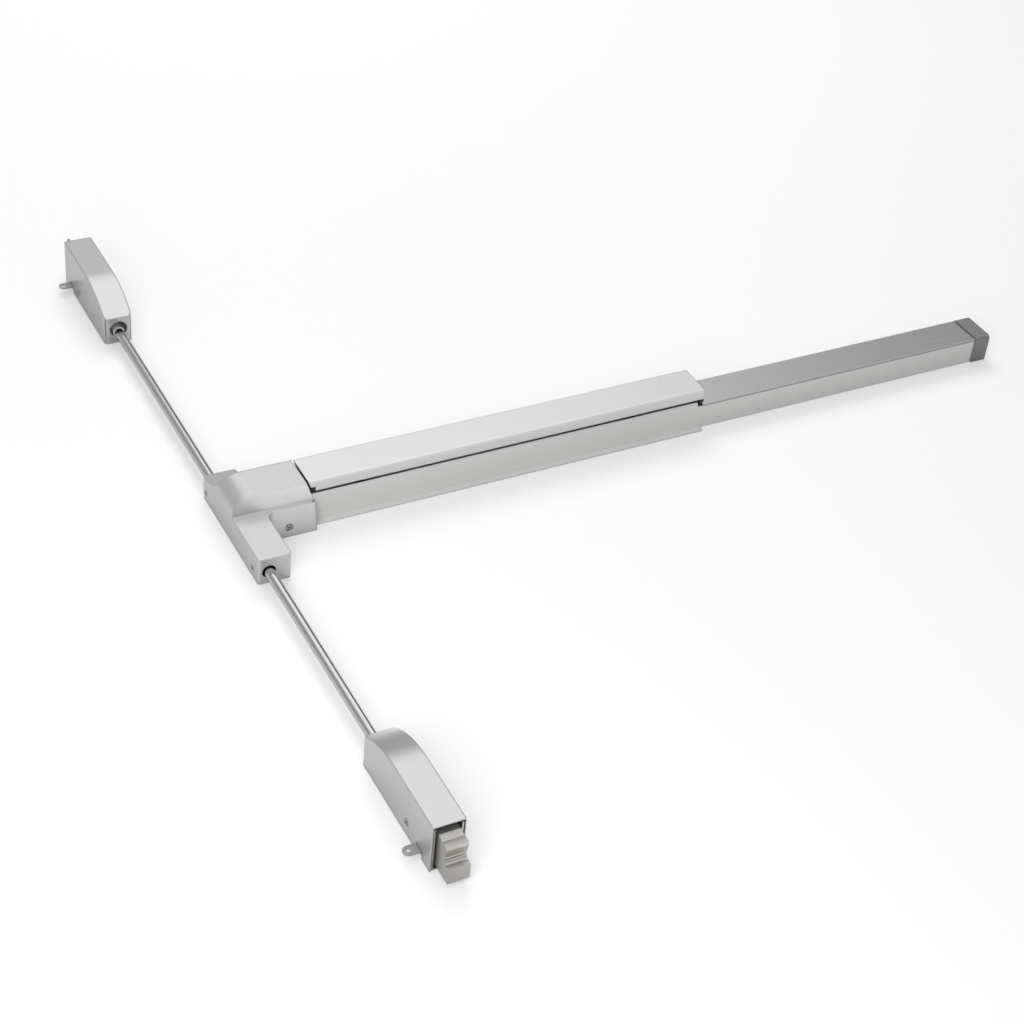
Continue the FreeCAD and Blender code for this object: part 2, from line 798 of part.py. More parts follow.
# One bell crank with its rail bracket and the pad's bracket, at one place along the bar.
def crank_set(side, centre_x):
    web = ("web_side", "web_side + web_thick")
    slot_half = "(pin_radius + slot_gap)"
    reach = "crank_arm * cos(%s)" % CRANK_SWING
    slot_depth = "crank_depth + pad_travel / 2"
    top = "pad_height - pad_wall"
    flange = box(
        side + "_flange",
        (centre_x + " - pad_foot_back", centre_x + " + pad_foot_front"),
        (top + " - pad_foot_thick", top),
        ("-pad_foot_half", "pad_foot_half"),
    )
    web_span = (centre_x + " - web_back", centre_x + " - web_front")
    plate = box(side + "_web", web_span, ("web_foot", top + " - pad_foot_thick / 2"), web)
    far_x = "%s - crank_arm" % centre_x
    near_x = "%s - %s" % (centre_x, reach)
    slot_depths = ("%s - %s" % (slot_depth, slot_half), "%s + %s" % (slot_depth, slot_half))
    through = ("web_side - past", "web_side + web_thick + past")
    slot = fuse(
        side + "_web_slot",
        [
            box(side + "_slot_box", (far_x, near_x), slot_depths, through),
            cylinder(side + "_slot_far", "z", (far_x, slot_depth), through, slot_half),
            cylinder(side + "_slot_near", "z", (near_x, slot_depth), through, slot_half),
        ],
    )
    pad_solid = fuse(side + "_pad_solid", [flange, plate])
    node(side + "_pad_bracket", cut(side + "_pad_bracket", pad_solid, [slot]))
    foot = box(
        side + "_foot",
        (centre_x + " - foot_half", centre_x + " + foot_half"),
        (RAIL_FLOOR, RAIL_FLOOR + " + ear_thick"),
        ("-ear_side - ear_thick", "ear_side + ear_thick"),
    )
    ears = []
    for index, sides in enumerate(both_sides("ear_side", "ear_side + ear_thick")):
        span = (centre_x + " - ear_half", centre_x + " + ear_half")
        ears.append(box("%s_ear_%d" % (side, index), span, (RAIL_FLOOR, "ear_height"), sides))
    across = ("-ear_side - ear_thick - past", "ear_side + ear_thick + past")
    bore = cylinder(side + "_ear_bore", "z", (centre_x, "crank_depth"), across, "pivot_radius + seat_gap")
    bracket = fuse(side + "_bracket_solid", [foot] + ears)
    node(side + "_crank_bracket", cut(side + "_crank_bracket", bracket, [bore]))
    plate_span = ("crank_side", "crank_side + crank_thick")
    boss_span = ("-crank_boss", "crank_side + crank_thick")
    drop_pin_span = ("-bar_half - pin_proud", "crank_side + past")
    arm_pin_span = ("crank_side + past", "web_side + web_thick + pin_proud")
    parts = [
        cylinder(side + "_boss", "z", ("0", "0"), boss_span, "crank_boss"),
        cylinder(side + "_drop_tip", "z", ("0", "-crank_drop"), plate_span, "crank_tip"),
        cylinder(side + "_arm_tip", "z", ("-crank_arm", "0"), plate_span, "crank_tip"),
        box(side + "_drop", ("-crank_tip", "crank_tip"), ("-crank_drop", "0"), plate_span),
        box(side + "_arm", ("-crank_arm", "0"), ("-crank_tip", "crank_tip"), plate_span),
        cylinder(side + "_drop_pin", "z", ("0", "-crank_drop"), drop_pin_span, "pin_radius"),
        cylinder(side + "_arm_pin", "z", ("-crank_arm", "0"), arm_pin_span, "pin_radius"),
    ]
    hole = cylinder(side + "_pivot", "z", ("0", "0"), across, "pivot_radius + running_gap")
    crank = cut(side + "_bell_crank", fuse(side + "_crank_solid", parts), [hole])
    crank.Placement.Rotation = Rotation(Vector(0, 0, 1), 1)
    crank.setExpression("Placement.Rotation.Angle", bound(CRANK_SWING))
    place(crank, centre_x, "-crank_depth", "0")
    node(side + "_bell_crank", crank)


def crank_pins():
    pins = []
    for index, x in enumerate(("left_crank_x", "right_crank_x")):
        ends = ("-ear_side - ear_thick - pin_proud", "ear_side + ear_thick")
        shank = cylinder("crank_pin_%d" % index, "z", (x, "crank_depth"), ends, "pivot_radius")
        head_span = ("ear_side + ear_thick", "ear_side + ear_thick + pin_head_thick")
        head_radius = "pivot_radius + pin_head_lip"
        head = cylinder("crank_pin_head_%d" % index, "z", (x, "crank_depth"), head_span, head_radius)
        pins += [shank, head]
    node("crank_pivot_pins", fuse("crank_pivot_pins", pins))


def actuator():
    bar_span = ("bar_start", "right_crank_x + bar_overhang")
    bar = box("bar_strip", bar_span, ("bar_low", "bar_high"), ("-bar_half", "bar_half"))
    slots = []
    for index, x in enumerate(("left_crank_x", "right_crank_x")):
        middle = "%s - crank_drop * sin(%s)" % (x, CRANK_SWING)
        low = "crank_depth - crank_drop"
        high = "crank_depth - crank_drop * cos(%s)" % CRANK_SWING
        wide = "(pin_radius + slot_gap)"
        slots.append(
            box(
                "bar_slot_%d" % index,
                ("%s - %s" % (middle, wide), "%s + %s" % (middle, wide)),
                ("%s - %s" % (low, wide), "%s + %s" % (high, wide)),
                ("-bar_half - past", "bar_half + past"),
            )
        )
    node("actuator_bar", cut("actuator_bar", bar, slots))
    head_depths = ("bar_high", "bar_high + head_thick")
    plate = box("head_plate", ("head_start", "head_stop"), head_depths, ("-head_half", "head_half"))
    holes = []
    rest_x = "lever_x - lever_drop * sin(%s)" % LEVER_SWING
    wide = "(pin_radius + slot_gap)"
    near_z = "lever_z - lever_drop"
    far_z = "lever_z - lever_drop * cos(%s)" % LEVER_SWING
    slot_x = ("%s - %s" % (rest_x, wide), "%s + %s" % (rest_x, wide))
    through = ("bar_high - past", "bar_high + head_thick + past")
    for index, ends in enumerate(both_sides("%s - %s" % (near_z, wide), "%s + %s" % (far_z, wide))):
        holes.append(box("head_slot_%d" % index, slot_x, through, ends))
    node("actuator_head", cut("actuator_head", plate, holes))


def bar_guides():
    guides = []
    places = (
        "first_guide_x",
        "(left_crank_x + guide_offset)",
        "((left_crank_x + right_crank_x) / 2)",
        "(right_crank_x - guide_offset)",
    )
    for x in places:
        name = "guide_%d" % len(guides)
        span = ("%s - guide_length / 2" % x, "%s + guide_length / 2" % x)
        block = box(name + "_block", span, (RAIL_FLOOR, "guide_height"), ("-guide_half", "guide_half"))
        way = box(
            name + "_way",
            ("%s - guide_length" % x, "%s + guide_length" % x),
            ("bar_low - part_gap", "guide_height + past"),
            ("-bar_half - part_gap", "bar_half + part_gap"),
        )
        guides.append(cut(name, block, [way]))
    node("bar_guides", fuse("bar_guides", guides))


# The upper lift lever with its two pins, modelled about its pivot and swung to rest.
def lift_levers():
    span = ("lever_low", "lever_low + lever_thick")
    arm_sides = ("-lever_arm_half", "lever_arm_half")
    rod_pin_span = ("slide_slot_floor + pin_proud", "lever_low + past")
    bar_pin_span = ("bar_high - pin_proud", "lever_low + past")
    parts = [
        cylinder("lever_hub", "deep", ("0", "0"), span, "lever_boss"),
        cylinder("lever_rod_tip", "deep", ("-lever_arm", "0"), span, "lever_tip"),
        cylinder("lever_bar_tip", "deep", ("0", "-lever_drop"), span, "lever_tip"),
        box("lever_rod_arm", ("-lever_arm", "0"), span, arm_sides),
        box("lever_bar_arm", arm_sides, span, ("-lever_drop", "0")),
        cylinder("lever_rod_pin", "deep", ("-lever_arm", "0"), rod_pin_span, "pin_radius"),
        cylinder("lever_bar_pin", "deep", ("0", "-lever_drop"), bar_pin_span, "pin_radius"),
    ]
    through = ("lever_low - past", "lever_low + lever_thick + past")
    hole = cylinder("lever_bore", "deep", ("0", "0"), through, "pivot_radius + running_gap")
    lever = cut("top_lift_lever", fuse("lever_solid", parts), [hole])
    lever.Placement.Rotation = Rotation(Vector(0, 1, 0), 1)
    lever.setExpression("Placement.Rotation.Angle", bound(LEVER_SWING))
    place(lever, "lever_x", "0", "lever_z")
    node("top_lift_lever", lever)
    mirrored("bottom_lift_lever", lever)
    studs = []
    for index, z in enumerate(("-lever_z", "lever_z")):
        centre = ("lever_x", z)
        shoulder = ("plate_thick", "lever_low - part_gap")
        whole = ("0", "lever_low + lever_thick + pin_head_thick")
        studs.append(cylinder("stud_shoulder_%d" % index, "deep", centre, shoulder, "shoulder_radius"))
        studs.append(cylinder("stud_pin_%d" % index, "deep", centre, whole, "pivot_radius"))
    node("lever_pivot_studs", fuse("lever_pivot_studs", studs))


def lift_slides():
    block = box(
        "slide_block",
        ("-slide_half", "slide_half"),
        ("plate_thick + part_gap", "slide_high"),
        ("-slide_stop", "-slide_start"),
    )
    wide = "(pin_radius + slot_gap)"
    pin_z = "lever_z + lever_arm * sin(%s)" % LEVER_SWING
    slot = box(
        "slide_slot",
        ("lever_x - lever_arm - %s" % wide, "slide_half + past"),
        ("slide_slot_floor", "slide_high + past"),
        ("-(%s) - %s" % (pin_z, wide), "-(%s) + %s" % (pin_z, wide)),
    )
    span = ("-slide_stop - past", "-rod_start")
    bore = cylinder("slide_bore", "z", ("0", "rod_depth"), span, "rod_radius + seat_gap")
    slide = cut("bottom_lift_slide", block, [slot, bore])
    node("bottom_lift_slide", slide)
    mirrored("top_lift_slide", slide)


# The bolt's end of the lower rod is at a set place behind the bolt's back.
ROD_END = along_latch("bolt_stem_back - bolt_bore_depth")


def rods():
    rod = cylinder("bottom_rod", "z", ("0", "rod_depth"), (ROD_END, "-rod_start"), "rod_radius")
    node("bottom_rod", rod)
    mirrored("top_rod", rod)
    centre = ("0", "rod_depth")
    spans = [
        ("-slide_stop - nut_thick", "-slide_stop"),
        (along_latch("bolt_stem_back"), along_latch("bolt_stem_back + nut_thick")),
    ]
    nuts = []
    for index, span in enumerate(spans):
        blank = prism_of_six("nut_blank_%d" % index, "nut_across", "z", centre, span)
        bore = cylinder("nut_bore_%d" % index, "z", centre, span, "rod_radius + seat_gap")
        nuts.append(cut("nut_%d" % index, blank, [bore]))
    group = fuse("bottom_rod_nuts", nuts)
    node("bottom_rod_nuts", group)
    mirrored("top_rod_nuts", group)


# The latch cover's outer form, or its hollow: flat over the bolt, then curved down to the rod.
def latch_form(name, inset, foot, bolt_end):
    half = "(latch_half - %s)" % inset
    crown = "(latch_deep - %s)" % inset
    stop = "(latch_length - %s)" % inset
    sides = ("-" + half, half)
    bend = along_latch("latch_flat")
    arc_centre = ("latch_deep - " + LATCH_CURVE, bend)
    arc_radius = "%s - %s" % (LATCH_CURVE, inset)
    bow = fuse(
        name + "_bow",
        [
            box(name + "_front", sides, ("-past", crown), (along_latch(bolt_end), bend)),
            cylinder(name + "_arc", "x", arc_centre, sides, arc_radius),
        ],
    )
    whole = box(name + "_whole", sides, (foot, crown), (along_latch(bolt_end), along_latch(stop)))
    return common(name, whole, bow)


def latch_covers():
    outer = latch_form("latch_outer", "0", "0", "0")

    def nose(bounds):
        return runs_along(bounds, "y") and near(bounds.ZMax, along_latch("latch_length"))

    def top_edge(bounds):
        at_bolt = near(bounds.ZMax, "-latch_end")
        return bounds.YMin < -number_of("rod_depth") and not runs_along(bounds, "y") and not at_bolt

    shaped = rounded("latch_nose_round", outer, "latch_nose", nose)
    shaped = rounded("latch_edge_round", shaped, "latch_edge", top_edge)
    hollow = latch_form("latch_hollow", "latch_wall", "-past", "-past")
    rod_hole = cylinder(
        "latch_rod_hole",
        "z",
        ("0", "latch_mouth_depth"),
        (along_latch("latch_length - latch_nose"), along_latch("latch_length + past")),
        "latch_mouth",
    )
    ear_half = "(ear_width / 2 + ear_slot_gap)"
    ear_slot = box(
        "latch_ear_slot",
        ("-latch_half - past", "-latch_half + latch_wall + past"),
        ("-past", "ear_depth + housing_wall + ear_slot_gap"),
        (along_latch("ear_in - " + ear_half), along_latch("ear_in + " + ear_half)),
    )
    centre = ("latch_screw_depth", along_latch("latch_screw_in"))
    holes = []
    for index, side in enumerate((-1, 1)):
        name = "latch_screw_hole_%d" % index
        face = "%d * latch_half" % side
        holes += sunk_hole(name, "x", centre, face, -side, "latch_wall", "latch_head_sink")
    cover = cut("bottom_latch_cover", shaped, [hollow, rod_hole, ear_slot] + holes)
    node("bottom_latch_cover", cover)
    mirrored("top_latch_cover", cover)
    screws = []
    for index, side in enumerate((-1, 1)):
        tip = "%d * (latch_half + latch_head_thick - latch_head_sink)" % side
        length = "latch_half - housing_half + housing_wall + latch_head_thick - latch_head_sink"
        name = "latch_screw_%d" % index
        screws.append(screw(name, "x", centre, tip, -side, length, "latch_head_thick"))
    group = fuse("bottom_cover_screws", screws)
    node("bottom_cover_screws", group)
    mirrored("top_cover_screws", group)


def latch_housings():
    side = [
        ("0", along_latch("housing_start")),
        ("housing_deep", along_latch("housing_start")),
        ("housing_deep", along_latch("housing_flat")),
        ("housing_low", along_latch(HOUSING_STOP)),
        ("0", along_latch(HOUSING_STOP)),
    ]
    whole = outline("housing_form", "x", side, ("-housing_half", "housing_half"))
    inner = "(housing_half - housing_wall)"
    hollow = box(
        "housing_hollow",
        ("-" + inner, inner),
        ("housing_wall", "housing_deep + past"),
        (along_latch("-past"), along_latch(HOUSING_STOP + " - housing_wall")),
    )
    above = box(
        "housing_above",
        ("-" + inner, inner),
        ("end_wall_height", "housing_deep + past"),
        (along_latch("housing_flat"), along_latch(HOUSING_STOP + " + past")),
    )
    tab = box(
        "ear_tab",
        ("-ear_reach + ear_width / 2", "-housing_half + housing_wall / 2"),
        ("ear_depth", "ear_depth + housing_wall"),
        (along_latch("ear_in - ear_width / 2"), along_latch("ear_in + ear_width / 2")),
    )
    centre = ("-ear_reach + ear_width / 2", along_latch("ear_in"))
    tip = cylinder("ear_tip", "deep", centre, ("ear_depth", "ear_depth + housing_wall"), "ear_width / 2")
    shell = cut("housing_shell", whole, [hollow, above])
    holes = [cylinder("ear_bore", "deep", centre, ("0", "ear_depth + housing_wall + past"), "ear_hole")]
    for index, step in enumerate(("-latch_hole_step / 2", "latch_hole_step / 2")):
        middle = ("0", along_latch("latch_hole_in + (%s)" % step))
        through = ("-past", "housing_wall + past")
        holes.append(cylinder("latch_hole_%d" % index, "deep", middle, through, "door_hole"))
    holes.append(
        cylinder(
            "housing_bush_hole",
            "z",
            ("0", "rod_depth"),
            (along_latch(HOUSING_STOP + " - housing_wall - past"), along_latch(HOUSING_STOP + " + past")),
            "bushing_radius + seat_gap",
        )
    )
    span = ("-housing_half - past", "housing_half + past")
    screw_centre = ("latch_screw_depth", along_latch("latch_screw_in"))
    holes.append(cylinder("housing_screw_hole", "x", screw_centre, span, "screw_radius + seat_gap"))
    housing = cut("bottom_latch_housing", fuse("housing_solid", [shell, tab, tip]), holes)
    node("bottom_latch_housing", housing)
    mirrored("top_latch_housing", housing)
    inner_face = HOUSING_STOP + " - housing_wall"
    centre = ("0", "rod_depth")
    flange_span = (along_latch("%s - bushing_flange_thick" % inner_face), along_latch(inner_face))
    flange = cylinder("bush_flange", "z", centre, flange_span, "bushing_flange")
    barrel_span = (along_latch(inner_face), along_latch("latch_length + bushing_proud"))
    barrel = cylinder("bush_barrel", "z", centre, barrel_span, "bushing_radius")
    bore_start = along_latch("%s - 2 * bushing_flange_thick" % inner_face)
    bore_span = (bore_start, along_latch("latch_length + 2 * past"))
    bore = cylinder("bush_bore", "z", centre, bore_span, "rod_radius + running_gap")
    bushing = cut("bottom_rod_bushing", fuse("bush_solid", [flange, barrel]), [bore])
    node("bottom_rod_bushing", bushing)
    mirrored("top_rod_bushing", bushing)
    guide = box(
        "bottom_bolt_guide",
        ("-%s + seat_gap" % inner, "%s - seat_gap" % inner),
        ("housing_wall", "bolt_low - part_gap"),
        (along_latch("2 * housing_start"), along_latch("guide_stop")),
    )
    node("bottom_bolt_guide", guide)
    mirrored("top_bolt_guide", guide)


# The bolt's nose: a hump over a round groove, and a stepped square tip.
def bolts():
    side = [
        ("bolt_low", along_latch("-bolt_tip")),
        ("bolt_step_depth", along_latch("-bolt_tip")),
        ("bolt_step_depth + past", along_latch("bolt_step_in - bolt_tip")),
        ("bolt_step_depth + bolt_valley_rise", along_latch("bolt_valley_in - bolt_tip")),
        ("bolt_top - bolt_brow_drop", along_latch("bolt_brow_in - bolt_tip")),
        ("bolt_top - bolt_crown_drop", along_latch("bolt_crown_in - bolt_tip")),
        ("bolt_top - bolt_dip_drop", along_latch("bolt_dip_in - bolt_tip")),
        ("bolt_top", along_latch("-past")),
        ("bolt_top", along_latch("bolt_back")),
        ("bolt_stem_high + bolt_shoulder", along_latch("bolt_back")),
        ("bolt_stem_high", along_latch("bolt_back + bolt_shoulder")),
        ("bolt_stem_high", along_latch("bolt_stem_back")),
        ("bolt_low", along_latch("bolt_stem_back")),
    ]
    body = outline("bolt_body", "x", side, ("-bolt_half", "bolt_half"))
    groove_centre = ("bolt_step_depth + groove_radius", along_latch("groove_in - bolt_tip"))
    across = ("-bolt_half - past", "bolt_half + past")
    groove = cylinder("bolt_groove", "x", groove_centre, across, "groove_radius")
    bore_span = (along_latch("bolt_stem_back - bolt_bore_depth"), along_latch("bolt_stem_back + past"))
    bore = cylinder("bolt_bore", "z", ("0", "rod_depth"), bore_span, "rod_radius + seat_gap")
    bolt = cut("bottom_bolt", body, [groove, bore])
    node("bottom_bolt", bolt)
    tip_span = ("latch_end + top_bolt_tip", "latch_end + 2 * bolt_tip")
    tip = box("top_bolt_tip", across, ("-past", "bolt_top + past"), tip_span)
    nub_span = ("latch_end - nub_in", "latch_end + top_bolt_tip")
    nub_sides = ("-bolt_half", "2 * nub_half - bolt_half")
    nub = box("top_bolt_nub", nub_sides, ("bolt_top - past", "nub_depth"), nub_span)
    nub_centre = ("nub_half - bolt_half", "nub_depth")
    nub_round = cylinder("top_bolt_nub_round", "z", nub_centre, nub_span, "nub_half")
    short = cut("top_bolt_short", mirror_of("top_bolt_twin", bolt), [tip])
    node("top_bolt", fuse("top_bolt", [short, nub, nub_round]))


def springs():
    start = "bolt_stem_back + nut_thick + spring_wire"
    stop = HOUSING_STOP + " - housing_wall - bushing_flange_thick - spring_wire"
    coil = doc.addObject("Part::Helix", "spring_path")
    coil.setExpression("Height", bound("(%s) - (%s)" % (stop, start)))
    coil.setExpression("Pitch", bound("((%s) - (%s)) / spring_turns" % (stop, start)))
    coil.setExpression("Radius", bound("spring_radius"))
    coil.SegmentLength = 0
    ring = doc.addObject("Part::Circle", "spring_section")
    ring.setExpression("Radius", bound("spring_wire"))
    ring.Placement.Rotation = Rotation(Vector(1, 0, 0), 90)
    ring.setExpression("Placement.Base.x", bound("spring_radius"))
    spring = doc.addObject("Part::Sweep", "bottom_latch_spring")
    spring.Sections = [ring]
    spring.Spine = (coil, ["Edge1"])
    spring.Solid = True
    spring.Frenet = True
    place(spring, "0", "-rod_depth", along_latch(start))
    node("bottom_latch_spring", spring)
    mirrored("top_latch_spring", spring)


def write_parts():
    doc.recompute()
    for item in doc.Objects:
        if "Invalid" in item.State or "Error" in item.State:
            raise RuntimeError("%s failed: %s" % (item.Name, item.State))
    for item in NODES:
        shape = item.Shape
        if shape.isNull() or not shape.isValid() or shape.Volume <= 0:
            raise RuntimeError("%s has no valid shape" % item.Label)
        print("%-24s solids %d volume %.1f" % (item.Label, len(shape.Solids), shape.Volume))
    for item in NODES:
        item.Shape.exportStep("parts/%s.step" % item.Label)


case_cover()
case_base_plate()
case_screws()
base_rail()
rail_screws()
rail_back_plate()
rail_cover()
end_pieces()
push_pad()
crank_set("left", "left_crank_x")
crank_set("right", "right_crank_x")
crank_pins()
actuator()
bar_guides()
lift_levers()
lift_slides()
rods()
latch_covers()
latch_housings()
bolts()
springs()
write_parts()
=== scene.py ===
import json

import bpy
from mathutils import Matrix, Vector

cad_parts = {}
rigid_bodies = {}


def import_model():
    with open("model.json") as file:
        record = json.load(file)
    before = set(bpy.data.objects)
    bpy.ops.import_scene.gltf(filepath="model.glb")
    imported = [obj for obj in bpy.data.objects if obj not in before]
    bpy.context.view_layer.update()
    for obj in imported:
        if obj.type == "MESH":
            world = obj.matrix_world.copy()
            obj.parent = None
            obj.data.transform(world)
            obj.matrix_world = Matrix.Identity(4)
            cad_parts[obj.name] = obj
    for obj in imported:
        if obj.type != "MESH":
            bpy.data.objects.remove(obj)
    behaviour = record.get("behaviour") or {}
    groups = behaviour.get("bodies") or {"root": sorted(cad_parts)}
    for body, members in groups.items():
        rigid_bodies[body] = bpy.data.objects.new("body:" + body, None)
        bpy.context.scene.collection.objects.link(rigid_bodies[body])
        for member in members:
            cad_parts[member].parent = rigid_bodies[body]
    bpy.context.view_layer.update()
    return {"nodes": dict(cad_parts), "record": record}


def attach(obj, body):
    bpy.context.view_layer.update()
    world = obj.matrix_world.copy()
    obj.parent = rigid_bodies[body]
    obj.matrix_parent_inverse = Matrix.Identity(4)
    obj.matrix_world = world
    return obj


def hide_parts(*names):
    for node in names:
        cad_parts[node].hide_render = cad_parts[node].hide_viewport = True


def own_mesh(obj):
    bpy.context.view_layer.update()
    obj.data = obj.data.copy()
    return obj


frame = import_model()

NODES = frame["nodes"]
RECORD = frame["record"]

WHITE = (1.0, 1.0, 1.0, 1.0)

# How finely a grain's noise breaks up, and the stretch of its values that counts.
METAL_DETAIL = 3.0
PLASTIC_DETAIL = 2.0
NOISE_ENDS = (0.3, 0.7)
# How far the grain moves the roughness up and down, and how strongly it bends the surface.
METAL_WEAR = 0.04
PLASTIC_WEAR = 0.05
BUMP_STRENGTH = 0.35
# The usual radius by which the shading softens sharp edges, and how finely it is traced.
SOFT_EDGE = 0.0008
EDGE_SAMPLES = 6

# How far a hollow's sides count, between which shares of open sky the painted shade sets in, and how dark it
# is painted.
HOLLOW_REACH = 0.03
HOLLOW_ENDS = (0.1, 0.42)
PAINTED_HOLLOW_SHADES = (0.03, 1.0)
HOLLOW_SAMPLES = 6
# The same for the shade painted into a screw's socket, whose light end is the steel's own colour.
SOCKET_REACH = 0.0015
SOCKET_ENDS = (0.5, 0.95)
SOCKET_PAINTED_SHADE = 0.02
SOCKET_SAMPLES = 8
SCREW_METALLIC = 0.8


# A material with a principled shader that is joined to its output.
def blank_material(name):
    material = bpy.data.materials.new(name)
    material.use_nodes = True
    tree = material.node_tree
    tree.nodes.clear()
    output = tree.nodes.new("ShaderNodeOutputMaterial")
    shader = tree.nodes.new("ShaderNodeBsdfPrincipled")
    tree.links.new(shader.outputs["BSDF"], output.inputs["Surface"])
    return material, tree, shader


# Maps a value from one range to another, smoothly unless the kind says otherwise.
def ramp_node(tree, value, ends, results, kind="SMOOTHSTEP"):
    ramp = tree.nodes.new("ShaderNodeMapRange")
    ramp.interpolation_type = kind
    ramp.inputs["From Min"].default_value = ends[0]
    ramp.inputs["From Max"].default_value = ends[1]
    ramp.inputs["To Min"].default_value = results[0]
    ramp.inputs["To Max"].default_value = results[1]
    tree.links.new(value, ramp.inputs["Value"])
    return ramp.outputs["Result"]


# Puts an operation on two values. The second may be a plain number.
def math_node(tree, operation, first, second):
    node = tree.nodes.new("ShaderNodeMath")
    node.operation = operation
    tree.links.new(first, node.inputs[0])
    if isinstance(second, float):
        node.inputs[1].default_value = second
    else:
        tree.links.new(second, node.inputs[1])
    return node.outputs["Value"]


# Noise over the object's own coordinates, stretched by a scale along each axis.
def stretched_noise(tree, scale, detail):
    coordinates = tree.nodes.new("ShaderNodeTexCoord")
    mapping = tree.nodes.new("ShaderNodeMapping")
    mapping.inputs["Scale"].default_value = scale
    noise = tree.nodes.new("ShaderNodeTexNoise")
    noise.inputs["Scale"].default_value = 1.0
    noise.inputs["Detail"].default_value = detail
    tree.links.new(coordinates.outputs["Object"], mapping.inputs["Vector"])
    tree.links.new(mapping.outputs["Vector"], noise.inputs["Vector"])
    return noise.outputs["Fac"]


# Roughness that follows the grain, by the wear above and below its mean.
def worn_roughness(tree, shader, noise, roughness, wear):
    rough = ramp_node(tree, noise, NOISE_ENDS, (roughness - wear, roughness + wear), "LINEAR")
    tree.links.new(rough, shader.inputs["Roughness"])


# The share of open sky that a piece leaves over its own surface, within a reach.
def open_sky(tree, reach, samples):
    sky = tree.nodes.new("ShaderNodeAmbientOcclusion")
    sky.samples = samples
    sky.only_local = True
    sky.inputs["Distance"].default_value = reach
    return sky.outputs["AO"]


# Colours a surface and paints shade into it inside the piece's own hollows, darker where less open sky
# reaches.
def paint_hollow_shade(tree, shader, colour, ends):
    # Painted shade: the colour is scaled down where the piece's own surfaces close over it.
    shade = ramp_node(tree, open_sky(tree, HOLLOW_REACH, HOLLOW_SAMPLES), ends, PAINTED_HOLLOW_SHADES)
    shaded_colour = tree.nodes.new("ShaderNodeVectorMath")
    shaded_colour.operation = "SCALE"
    shaded_colour.inputs[0].default_value = colour
    tree.links.new(shade, shaded_colour.inputs["Scale"])
    tree.links.new(shaded_colour.outputs["Vector"], shader.inputs["Base Color"])


# A bare or coated metal. Grain is the noise's scale along x, y and z, and depth is its relief in metres.
# Edge is the radius of the softened edges, and hollow says between which shares of open sky shade is painted
# into the colour.
def metal(
    name,
    colour,
    roughness,
    grain,
    depth,
    metallic=1.0,
    wear=METAL_WEAR,
    edge=SOFT_EDGE,
    hollow=HOLLOW_ENDS,
):
    material, tree, shader = blank_material(name)
    paint_hollow_shade(tree, shader, colour, hollow)
    shader.inputs["Metallic"].default_value = metallic
    noise = stretched_noise(tree, grain, METAL_DETAIL)
    worn_roughness(tree, shader, noise, roughness, wear)
    soft = tree.nodes.new("ShaderNodeBevel")
    soft.samples = EDGE_SAMPLES
    soft.inputs["Radius"].default_value = edge
    bump = tree.nodes.new("ShaderNodeBump")
    bump.inputs["Strength"].default_value = BUMP_STRENGTH
    bump.inputs["Distance"].default_value = depth
    tree.links.new(noise, bump.inputs["Height"])
    tree.links.new(soft.outputs["Normal"], bump.inputs["Normal"])
    tree.links.new(bump.outputs["Normal"], shader.inputs["Normal"])
    return material


def plastic(name, colour, roughness, grain):
    material, tree, shader = blank_material(name)
    shader.inputs["Base Color"].default_value = (*colour, 1.0)
    noise = stretched_noise(tree, grain, PLASTIC_DETAIL)
    worn_roughness(tree, shader, noise, roughness, PLASTIC_WEAR)
    return material


# Steel with shade painted into its recesses, as into a screw's socket.
def steel_with_painted_socket_shade(name, shade, roughness):
    material, tree, shader = blank_material(name)
    shader.inputs["Metallic"].default_value = SCREW_METALLIC
    shader.inputs["Roughness"].default_value = roughness
    sky = open_sky(tree, SOCKET_REACH, SOCKET_SAMPLES)
    # Painted shade: near black on the socket's floor, the steel's own colour in the open.
    depth = ramp_node(tree, sky, SOCKET_ENDS, (SOCKET_PAINTED_SHADE, shade))
    tree.links.new(depth, shader.inputs["Base Color"])
    return material


EVEN_GRAIN = (2600.0, 2600.0, 2600.0)
ALONG_BAR = (12.0, 2200.0, 2200.0)
ALONG_ROD = (2200.0, 2200.0, 10.0)
COARSE_GRAIN = (700.0, 700.0, 700.0)
PLASTIC_GRAIN = (900.0, 900.0, 900.0)

